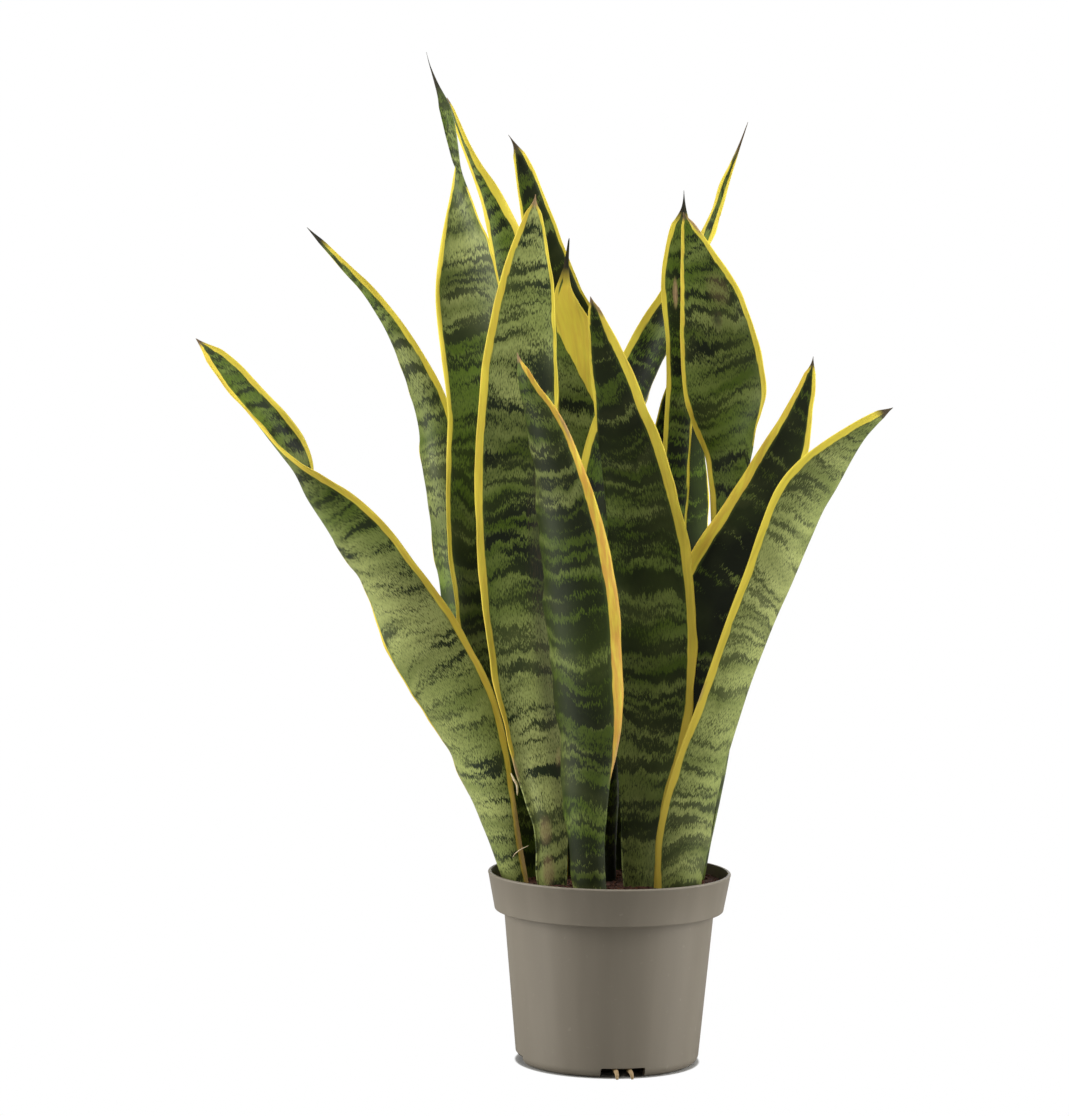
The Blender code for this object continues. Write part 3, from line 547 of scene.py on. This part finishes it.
def make_blade(node, look, skin):
    """One leaf: a closed blade, thick at the rib and rounded at its margins."""
    grid, normals, across, along, width, draw_in = blade_surface(
        node, look["seed"], look.get("point", PLAIN_POINT), look.get("frill", 1.0))
    rows, columns = grid.shape[:2]
    s = np.linspace(-1, 1, columns)
    rib = np.clip(width / FULL_RIB_WIDTH, 0, 1)[:, None]
    thick = EDGE_THICKNESS + (RIB_THICKNESS - EDGE_THICKNESS) * (1 - s ** 2) * rib
    thick = thick * (THIN_TIP + (1 - THIN_TIP) * draw_in[:, None])
    thick = np.minimum(thick, THICKEST_SHARE * width[:, None] * MM)
    height = (grid[:, columns // 2, 2] - SOIL_TOP) / MM

    most = look.get("widest", PLAIN_WIDEST) * width
    left = np.minimum(keyed(look["left"], height), most)
    right = np.minimum(keyed(look["right"], height), most)
    inside = np.minimum(across - across[:, :1] - left[:, None],
                        across[:, -1:] - across - right[:, None])
    pale = np.repeat(keyed(look["pale"], height)[:, None], columns, axis=1)
    cover = np.repeat(keyed(look["cover"], height)[:, None], columns, axis=1)

    # The dried spike and the soft-edged oval marks, one of them a long near-black painted shade.
    spike, tone = look["spike"]
    left_over = (along[-1] - along)[:, None]
    dry_and_shade = np.clip((spike * 1.25 - left_over) / (spike * 0.5), 0, 1) * np.ones((1, columns))
    tones = np.full((rows, columns), float(tone))
    for at, side, half_length, half_width, mark_tone, strength in look["marks"]:
        reach = (((height - at) / half_length) ** 2)[:, None]
        reach = reach + ((across - side * width[:, None] / 2) / half_width) ** 2
        amount = np.clip(1.25 - reach, 0, 1) * strength
        tones = np.where(amount > dry_and_shade, mark_tone, tones)
        dry_and_shade = np.maximum(dry_and_shade, amount)

    sheets = [grid + normals * (direction * thick / 2)[..., None] for direction in (1, -1)]
    rim = np.stack([grid[:, 0] + (grid[:, 0] - grid[:, 1]) * 0.25,
                    grid[:, -1] + (grid[:, -1] - grid[:, -2]) * 0.25], axis=1)
    loop = np.concatenate([sheets[0], rim[:, 1:], sheets[1][:, ::-1], rim[:, :1]], axis=1)

    def around(values):
        return np.concatenate([values, values[:, -1:], values[:, ::-1], values[:, :1]], axis=1)

    size = loop.shape[1]
    ends = np.stack([loop[0].mean(axis=0), loop[-1].mean(axis=0)])
    vertices = np.concatenate([loop.reshape(-1, 3), ends])
    faces = []
    for i in range(rows - 1):
        for j in range(size):
            k = (j + 1) % size
            faces.append((i * size + j, (i + 1) * size + j, (i + 1) * size + k, i * size + k))
    for ring, centre in ((0, rows * size), (rows - 1, rows * size + 1)):
        for j in range(size):
            faces.append((ring * size + j, ring * size + (j + 1) % size, centre))
    mesh = bpy.data.meshes.new(node + "_blade")
    mesh.from_pydata([tuple(v) for v in vertices], [], faces)

    def write(name, *parts):
        data = np.stack([around(p).ravel() for p in parts], axis=-1)
        data = np.concatenate([data, data[:1], data[-1:]])
        layer = mesh.attributes.new(name, "FLOAT_VECTOR", "POINT")
        layer.data.foreach_set("vector", data.astype(np.float32).ravel())

    lengths = along[:, None] + look.get("chevron", 0.0) * np.abs(across)
    rust = np.where(across < 0, *look.get("rust", PLAIN_RUST))
    write("blade_place", across, lengths, np.full((rows, columns), look["seed"]))
    write("blade_state", inside, pale, cover)
    write("blade_dried_and_shade", dry_and_shade, tones, rust)
    write("blade_tone", *(np.full((rows, columns), look.get(k, v)) for k, v in PLAIN_TONE.items()))
    bm = bmesh.new()
    bm.from_mesh(mesh)
    bmesh.ops.recalc_face_normals(bm, faces=bm.faces)
    bm.to_mesh(mesh)
    bm.free()
    mesh.shade_smooth()
    return as_piece(node + "_blade", mesh, skin, "leaf", node)


# ---------------------------------------------------------------- pot, soil and roots

COLLAR_HEIGHT = 26.5 * MM
COLLAR_TAPER = 3.8 * MM
COLLAR_STEP = 6.8 * MM
FOOT_RADIUS = 63.6 * MM
FOOT_ROUNDING = 6.5 * MM
FOOT_LIP = 3.0 * MM
WALL = 1.3 * MM
RIM_LIP = 1.0 * MM
NECK_FILLET = 1.2 * MM
EDGE_ROUNDING = 0.8 * MM          # at the collar's lower edge
STEP_BEVEL = 1.0 * MM             # inside, where the collar meets its step
NECK_BEVEL = 0.6 * MM             # inside, where the step meets the body
SOFT_EDGE = 0.5 * MM              # at the rim's inside and on the base
GUTTER_HEIGHT = 7.6 * MM
CENTRE_PAD_RADIUS = 38.0 * MM
NOTCH_WIDTH = 31.0 * MM
NOTCH_HEIGHT = 7.0 * MM
NOTCH_ROUNDING = 1.2 * MM
NOTCH_HEADINGS = [math.radians(-81 + 90 * i) for i in range(4)]
DRAIN_WIDTH = 22.0 * MM
DRAIN_DEPTH = 8.0 * MM
DRAIN_ROUNDING = 0.4 * MM
POT_SIDES = 240
SHARP_ANGLE = math.radians(32)

SOIL_SINK = 1.0 * MM              # the surface's rest level below the soil's highest point
SOIL_GAP = 0.3 * MM               # between the soil and the wall
SOIL_CROWN = 0.4                  # mm that the middle stands above the rest level
SOIL_FALL = 1.2                   # mm from the middle to the wall
SOIL_LUMPS = ((1.5, 90, 0.3), (0.8, 260, 7.1), (0.45, 700, 3.7))   # mm high, per metre, seed
SOIL_SIDES = 160
SOIL_RINGS = 48
CRUMB_UNEVENNESS = (0.75, 0.5)    # least share of a crumb's radius, and how much more it may be
CRUMB_FLATNESS = 0.7
CRUMB_TILT = 0.4
CRUMB_RISE = 0.15                 # share of its size that a crumb's middle stands proud
CRUMB_RARITY = 2.5                # how much rarer large crumbs are than small ones
ROOT_RADIUS = 1.55 * MM
ROOT_OFF_GROUND = 0.6 * MM
ROOT_PASSING_HEIGHT = 4.8 * MM    # height of its middle as it passes through the notch
ROOT_LENGTH = 26.0 * MM           # from the drain hole to the tip
ROOT_DROP = 4.5 * MM              # how far it comes down out of the drain hole
ROOT_FALL = 5.5                   # it has come down after one part in so many of its length
ROOT_SWAY = 0.5 * MM
ROOT_KNOTS = 0.07
ROOT_TAPER = 0.45
ROOT_STEPS = 28
TUBE_SIDES = 16

# Dried bits: name, places in mm from the pot's centre and the ground, and the thickest radius.
DRIED_BITS = [
    ("dried_fibre", [(-67.6, -31, 147), (-66.0, -33, 149.6), (-62.5, -35, 152.8), (-56.7, -36, 156)],
     0.35 * MM),
    ("torn_margin", [(-69.6, -28, 205), (-67.4, -31, 201), (-65.2, -32, 197), (-64.9, -32, 190)],
     0.9 * MM)]
DRIED_STEPS = 20
DRIED_ENDS = 0.25                 # thickness of the ends as a share of the thickest


def bend(centre, radius, start, end, steps):
    """Points (r, z) on an arc; angles in degrees, 0 along +r and 90 along +z."""
    angles = [math.radians(start + (end - start) * i / steps) for i in range(steps + 1)]
    return [(centre[0] + radius * math.cos(a), centre[1] + radius * math.sin(a)) for a in angles]


def pot_outline():
    """Half the moulded wall, from the centre of the underside round to the inside."""
    base_z = POT_HEIGHT - COLLAR_HEIGHT
    collar_low = RIM_RADIUS - RIM_LIP - COLLAR_TAPER
    neck = collar_low - COLLAR_STEP
    foot = FOOT_RADIUS + (neck - FOOT_RADIUS) * FOOT_ROUNDING / base_z - FOOT_ROUNDING
    gutter_in = CENTRE_PAD_RADIUS + 2 * WALL
    gutter_out = foot - FOOT_LIP - WALL
    floor = GUTTER_HEIGHT + WALL
    soft = SOFT_EDGE
    under = [(0.0, 0.0), (CENTRE_PAD_RADIUS - soft, 0.0), (CENTRE_PAD_RADIUS, soft / 2),
             (gutter_in - soft / 2, GUTTER_HEIGHT - soft), (gutter_in + soft / 2, GUTTER_HEIGHT),
             (gutter_out - soft / 2, GUTTER_HEIGHT), (gutter_out + soft / 2, GUTTER_HEIGHT - soft),
             (foot - FOOT_LIP, soft / 2), (foot - FOOT_LIP + soft, 0.0)]
    corner = bend((foot, FOOT_ROUNDING), FOOT_ROUNDING, -90, 0, 12)
    neck_bend = bend((neck + NECK_FILLET, base_z - NECK_FILLET), NECK_FILLET, 180, 90, 6)
    collar_edge = bend((collar_low - EDGE_ROUNDING, base_z + EDGE_ROUNDING), EDGE_ROUNDING, -90, 0, 6)
    lip = bend((RIM_RADIUS - RIM_LIP, POT_HEIGHT - RIM_LIP), RIM_LIP, -40, 90, 10)
    top_inner = RIM_RADIUS - RIM_LIP - WALL
    inside = bend((top_inner + soft, POT_HEIGHT - soft), soft, 90, 180, 4)
    inside += [(collar_low - WALL, base_z + WALL + STEP_BEVEL),
               (collar_low - WALL - STEP_BEVEL, base_z + WALL),
               (neck - WALL + NECK_BEVEL, base_z + WALL),
               (neck - WALL, base_z + WALL - NECK_BEVEL),
               (foot + FOOT_ROUNDING - WALL, floor + FOOT_ROUNDING), (foot, floor),
               (CENTRE_PAD_RADIUS - WALL, floor), (CENTRE_PAD_RADIUS - 3 * WALL, WALL), (0.0, WALL)]
    return under + corner + neck_bend + collar_edge + lip + inside


def lathe(name, outline, sides):
    """A closed solid of revolution from an outline that starts and ends on the axis."""
    bm = bmesh.new()
    rings = []
    for radius, z in outline:
        count = sides if radius > 0 else 1
        rings.append([bm.verts.new((radius * math.cos(2 * math.pi * i / count),
                                    radius * math.sin(2 * math.pi * i / count), z))
                      for i in range(count)])
    for low, high in zip(rings, rings[1:]):
        for i in range(sides):
            j = (i + 1) % sides
            corners = [low[i % len(low)], low[j % len(low)], high[j % len(high)], high[i % len(high)]]
            bm.faces.new(list(dict.fromkeys(corners)))
    bmesh.ops.recalc_face_normals(bm, faces=bm.faces)
    mesh = bpy.data.meshes.new(name)
    bm.to_mesh(mesh)
    bm.free()
    return mesh


def slot_cutter(name, near, far, width, low, high, rounding):
    """Rounded blocks, one at each notch's heading, joined in one cutter."""
    bm = bmesh.new()
    for heading in NOTCH_HEADINGS:
        made = bmesh.ops.create_cube(bm, size=1.0)["verts"]
        size = Matrix.Diagonal((far - near, width, high - low, 1.0))
        place = (Matrix.Rotation(heading, 4, "Z")
                 @ Matrix.Translation(((near + far) / 2, 0.0, (low + high) / 2)) @ size)
        bmesh.ops.transform(bm, matrix=place, verts=made)
        outward = Vector((math.cos(heading), math.sin(heading), 0.0))
        long_edges = [e for e in bm.edges if e.verts[0] in made
                      and abs((e.verts[0].co - e.verts[1].co).normalized().dot(outward)) > 0.9]
        bmesh.ops.bevel(bm, geom=long_edges, offset=rounding, segments=5, affect="EDGES", profile=0.5)
    mesh = bpy.data.meshes.new(name)
    bm.to_mesh(mesh)
    bm.free()
    return bpy.data.objects.new(name, mesh)


def apply_cuts(piece, cutters):
    """Cut the cutters out of a piece for good, and remove them."""
    for cutter in cutters:
        bpy.context.scene.collection.objects.link(cutter)
        modifier = piece.modifiers.new(cutter.name, "BOOLEAN")
        modifier.operation = "DIFFERENCE"
        modifier.solver = "EXACT"
        modifier.object = cutter
    mesh = bpy.data.meshes.new_from_object(piece.evaluated_get(bpy.context.evaluated_depsgraph_get()))
    piece.modifiers.clear()
    piece.data = mesh
    for cutter in cutters:
        bpy.data.objects.remove(cutter, do_unlink=True)


def make_pot(plastic):
    """The moulded pot with its rolled rim, deep collar, rounded foot, notches and drain holes."""
    mesh = lathe("moulded_pot", pot_outline(), POT_SIDES)
    pot = as_piece("moulded_pot", mesh, plastic, "pot_plastic", "nursery_pot")
    foot = FOOT_RADIUS - FOOT_ROUNDING
    gutter_middle = (CENTRE_PAD_RADIUS + 2 * WALL + foot - FOOT_LIP - WALL) / 2
    notches = slot_cutter("notches", foot - FOOT_LIP - 2 * WALL, RIM_RADIUS, NOTCH_WIDTH,
                          -NOTCH_HEIGHT, NOTCH_HEIGHT, NOTCH_ROUNDING)
    drains = slot_cutter("drains", gutter_middle - DRAIN_DEPTH / 2, gutter_middle + DRAIN_DEPTH / 2,
                         DRAIN_WIDTH, GUTTER_HEIGHT - WALL, GUTTER_HEIGHT + 2 * WALL, DRAIN_ROUNDING)
    bpy.context.view_layer.update()
    apply_cuts(pot, [notches, drains])
    pot.data.shade_smooth()
    pot.data.set_sharp_from_angle(angle=SHARP_ANGLE)
    return pot


def soil_height(x, y):
    """Height of the soil's surface: a low crown with lumps, crumbs and grit."""
    radius = math.hypot(x, y) / SOIL_RADIUS
    height = SOIL_CROWN - SOIL_FALL * radius ** 4
    for high, per_metre, seed in SOIL_LUMPS:
        height += high * noise.noise(Vector((x, y, seed)) * per_metre)
    return SOIL_TOP - SOIL_SINK + height * MM


def make_soil(peat):
    """The top of the soil as a lumpy disc on a plain plug that fills the pot's collar."""
    corners = [(math.cos(2 * math.pi * j / SOIL_SIDES), math.sin(2 * math.pi * j / SOIL_SIDES))
               for j in range(SOIL_SIDES)]
    bm = bmesh.new()
    rings = []
    for i in range(1, SOIL_RINGS + 1):
        radius = (SOIL_RADIUS - SOIL_GAP) * i / SOIL_RINGS
        rings.append([bm.verts.new((radius * c, radius * s, soil_height(radius * c, radius * s)))
                      for c, s in corners])
    top = bm.verts.new((0.0, 0.0, soil_height(0.0, 0.0)))
    low = POT_HEIGHT - COLLAR_HEIGHT + WALL + SOIL_GAP
    low_radius = RIM_RADIUS - RIM_LIP - COLLAR_TAPER - WALL - SOIL_GAP
    rings.append([bm.verts.new((low_radius * c, low_radius * s, low)) for c, s in corners])
    bottom = bm.verts.new((0.0, 0.0, low))
    for j in range(SOIL_SIDES):
        k = (j + 1) % SOIL_SIDES
        bm.faces.new((top, rings[0][j], rings[0][k]))
        bm.faces.new((bottom, rings[-1][k], rings[-1][j]))
        for near, far in zip(rings, rings[1:]):
            bm.faces.new((near[j], far[j], far[k], near[k]))
    bmesh.ops.recalc_face_normals(bm, faces=bm.faces)
    mesh = bpy.data.meshes.new("peat_surface")
    bm.to_mesh(mesh)
    bm.free()
    mesh.shade_smooth()
    return as_piece("peat_surface", mesh, peat, "soil", "potting_soil")


def make_crumbs(name, count, seed, smallest, largest, stretch, material):
    """Loose bits on the soil, joined in one piece: small uneven lumps of the mix."""
    random = np.random.default_rng(seed)
    bm = bmesh.new()
    for _ in range(count):
        radius = (SOIL_RADIUS - largest * stretch) * math.sqrt(random.random())
        angle = random.random() * 2 * math.pi
        x, y = radius * math.cos(angle), radius * math.sin(angle)
        size = smallest + (largest - smallest) * random.random() ** CRUMB_RARITY
        lump = bmesh.ops.create_icosphere(bm, subdivisions=1, radius=size / 2)["verts"]
        for v in lump:
            v.co *= CRUMB_UNEVENNESS[0] + CRUMB_UNEVENNESS[1] * random.random()
            v.co.x *= stretch
            v.co.z *= CRUMB_FLATNESS
        turn = (Matrix.Rotation(random.random() * 2 * math.pi, 4, "Z")
                @ Matrix.Rotation(random.normal() * CRUMB_TILT, 4, "Y"))
        place = Matrix.Translation((x, y, soil_height(x, y) + size * CRUMB_RISE))
        bmesh.ops.transform(bm, matrix=place @ turn, verts=lump)
    mesh = bpy.data.meshes.new(name)
    bm.to_mesh(mesh)
    bm.free()
    return as_piece(name, mesh, material, "soil")


def tube(name, path, radii, across):
    """A round tube along a path, with its ends closed. Across is a way that it never runs."""
    bm = bmesh.new()
    loops = []
    for i, (centre, radius) in enumerate(zip(path, radii)):
        ahead = (path[min(i + 1, len(path) - 1)] - path[max(i - 1, 0)]).normalized()
        side = across.cross(ahead).normalized()
        level = ahead.cross(side)
        loops.append([bm.verts.new(centre + radius * (level * math.cos(a) + side * math.sin(a)))
                      for a in [2 * math.pi * k / TUBE_SIDES for k in range(TUBE_SIDES)]])
    for near, far in zip(loops, loops[1:]):
        for k in range(TUBE_SIDES):
            m = (k + 1) % TUBE_SIDES
            bm.faces.new((near[k], near[m], far[m], far[k]))
    bm.faces.new(loops[0][::-1])
    bm.faces.new(loops[-1])
    bmesh.ops.recalc_face_normals(bm, faces=bm.faces)
    mesh = bpy.data.meshes.new(name)
    bm.to_mesh(mesh)
    bm.free()
    mesh.shade_smooth()
    return mesh


def make_root(node, bark, seed):
    """A thin root that comes down the drain hole, passes through the notch and droops to the
    ground, ending blunt."""
    low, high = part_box(node)
    outward = Vector((math.cos(NOTCH_HEADINGS[0]), math.sin(NOTCH_HEADINGS[0]), 0.0))
    across = Vector((-outward.y, outward.x, 0.0))
    offset = ((low + high) / 2).dot(across)
    far = max(Vector((x, low.y, 0.0)).dot(outward) for x in (low.x, high.x)) - ROOT_RADIUS
    droop = ROOT_PASSING_HEIGHT - ROOT_OFF_GROUND
    arc = droop * math.pi / 2
    path, radii = [], []
    for i in range(ROOT_STEPS + 1):
        t = i / ROOT_STEPS
        to_go = ROOT_LENGTH * (1 - t)
        angle = math.pi / 2 * max(0.0, 1 - to_go / arc)
        reach = far - max(0.0, to_go - arc) - droop * (1 - math.sin(angle))
        rise = ROOT_DROP * max(0.0, 1 - t * ROOT_FALL) ** 2
        height = ROOT_PASSING_HEIGHT + rise - droop * (1 - math.cos(angle))
        sway = ROOT_SWAY * t * math.sin(t * 5.0 + seed)
        path.append(outward * reach + across * (offset + sway) + Vector((0.0, 0.0, height)))
        knots = 1 + ROOT_KNOTS * math.sin(i * 2.1 + seed)
        radii.append(ROOT_RADIUS * knots * (1 - ROOT_TAPER * t ** 8))
    return as_piece(node + "_cork", tube(node + "_cork", path, radii, across), bark, "root", node)


def make_dried_bits(husk):
    """A loose fibre and a torn, curled strip of margin at the foot of the front left leaves."""
    across = Vector((0.0, 1.0, 0.0))
    for name, points, thickest in DRIED_BITS:
        points = np.array(points, dtype=float)
        places = np.linspace(0, len(points) - 1, DRIED_STEPS + 1)
        path = [Vector(p) * MM for p in spline(points, places)]
        swell = [math.sin(math.pi * k / DRIED_STEPS) ** 0.6 for k in range(DRIED_STEPS + 1)]
        radii = [thickest * (DRIED_ENDS + (1 - DRIED_ENDS) * share) for share in swell]
        as_piece(name, tube(name, path, radii, across), husk, "leaf")


# ---------------------------------------------------------------- studio

FLOOR_FADE = 1.03                 # the floor is lost in the white at so many foot radii
FLOOR_SPAN = 6.0
LENS_MM = 111.35
CAMERA_PLACE = (-0.0552, -2.4, 0.495)
CAMERA_PITCH = 3.4                # degrees down
CAMERA_ROLL = -0.7
CAMERA_TURN = 0.04


def area_light(name, place, target, size, power):
    """A soft white rectangular light at a place, turned to a target."""
    light = bpy.data.lights.new(name, "AREA")
    light.shape = "RECTANGLE"
    light.size, light.size_y = size
    light.energy = power
    lamp = bpy.data.objects.new(name, light)
    lamp.location = place
    lamp.rotation_euler = (Vector(target) - Vector(place)).to_track_quat("-Z", "Y").to_euler()
    bpy.context.scene.collection.objects.link(lamp)


def make_studio():
    """Tall softboxes at the sides, one overhead, a weak one behind, and a white room over a pale
    floor."""
    area_light("left_softbox", (-1.6, -0.25, 0.60), (0.0, 0.0, 0.35), (1.0, 1.6), 36.0)
    area_light("right_softbox", (1.6, -0.25, 0.60), (0.0, 0.0, 0.35), (1.0, 1.6), 36.0)
    area_light("top_softbox", (0.0, -0.5, 1.9), (0.0, 0.0, 0.45), (1.8, 1.4), 22.0)
    area_light("back_softbox", (0.3, 2.0, 0.8), (0.0, 0.0, 0.35), (1.4, 1.6), 12.0)
    world = bpy.data.worlds.new("white_room")
    world.use_nodes = True
    tree = world.node_tree
    tree.nodes.clear()
    seen = add(tree, "ShaderNodeBackground", {"Color": linear("#FFFFFF"), "Strength": 1.0})[0]
    lit = add(tree, "ShaderNodeBackground", {"Color": linear("#FFFFFF"), "Strength": 0.115})[0]
    first_seen = add(tree, "ShaderNodeLightPath", {})["Is Camera Ray"]
    room = add(tree, "ShaderNodeMixShader", [first_seen, lit, seen])[0]
    add(tree, "ShaderNodeOutputWorld", {"Surface": room})
    bpy.context.scene.world = world
    bpy.context.scene.view_settings.view_transform = "Standard"

    floor_paint, tree, shader = new_material("pale_floor", Base_Color=linear("#A9A8A4"),
                                             Roughness=0.9)
    bright = add(tree, "ShaderNodeEmission", {"Color": linear("#FFFFFF"), "Strength": 1.0})[0]
    first_seen = add(tree, "ShaderNodeLightPath", {})["Is Camera Ray"]
    place = add(tree, "ShaderNodeTexCoord", {})["Object"]
    away = add(tree, "ShaderNodeVectorMath", [place], operation="LENGTH")["Value"]
    fade = add(tree, RANGE, [away, FOOT_RADIUS, FLOOR_FADE * FOOT_RADIUS, 0.0, 1.0],
               interpolation_type="SMOOTHSTEP")[0]
    share = add(tree, MATH, [fade, first_seen], operation="MULTIPLY")[0]
    surface = add(tree, "ShaderNodeMixShader", [share, shader.outputs[0], bright])[0]
    tree.links.new(surface, tree.nodes["Material Output"].inputs["Surface"])
    mesh = bpy.data.meshes.new("floor")
    corners = [(x * FLOOR_SPAN, y * FLOOR_SPAN, 0) for x, y in ((-1, -1), (1, -1), (1, 1), (-1, 1))]
    mesh.from_pydata(corners, [], [(0, 1, 2, 3)])
    mesh.materials.append(floor_paint)
    floor = bpy.data.objects.new("floor", mesh)
    bpy.context.scene.collection.objects.link(floor)


def make_camera():
    """A long lens at two thirds of the plant's height, looking slightly down."""
    data = bpy.data.cameras.new("camera")
    data.sensor_width = 36.0
    data.lens = LENS_MM
    camera = bpy.data.objects.new("camera", data)
    camera.location = CAMERA_PLACE
    camera.rotation_euler = [math.radians(a) for a in (90 - CAMERA_PITCH, CAMERA_ROLL, CAMERA_TURN)]
    bpy.context.scene.collection.objects.link(camera)
    bpy.context.scene.camera = camera


make_camera()
make_studio()
make_pot(pot_plastic())
peat = peat_mix("damp_peat", "#6A4234", "#24150F")
make_soil(peat)
make_crumbs("peat_crumbs", 1500, 5, 0.8 * MM, 3.2 * MM, 1.2, peat)
make_crumbs("bark_bits", 130, 9, 1.5 * MM, 4.5 * MM, 2.0, peat_mix("bark", "#7C5038", "#2E1C14"))
skin = leaf_skin()
for leaf, look in LOOKS.items():
    make_blade(leaf, look, skin)
bark = root_bark()
make_root("root_left", bark, 0.4)
make_root("root_right", bark, 2.1)
make_dried_bits(dry_husk())

bpy.context.view_layer.update()
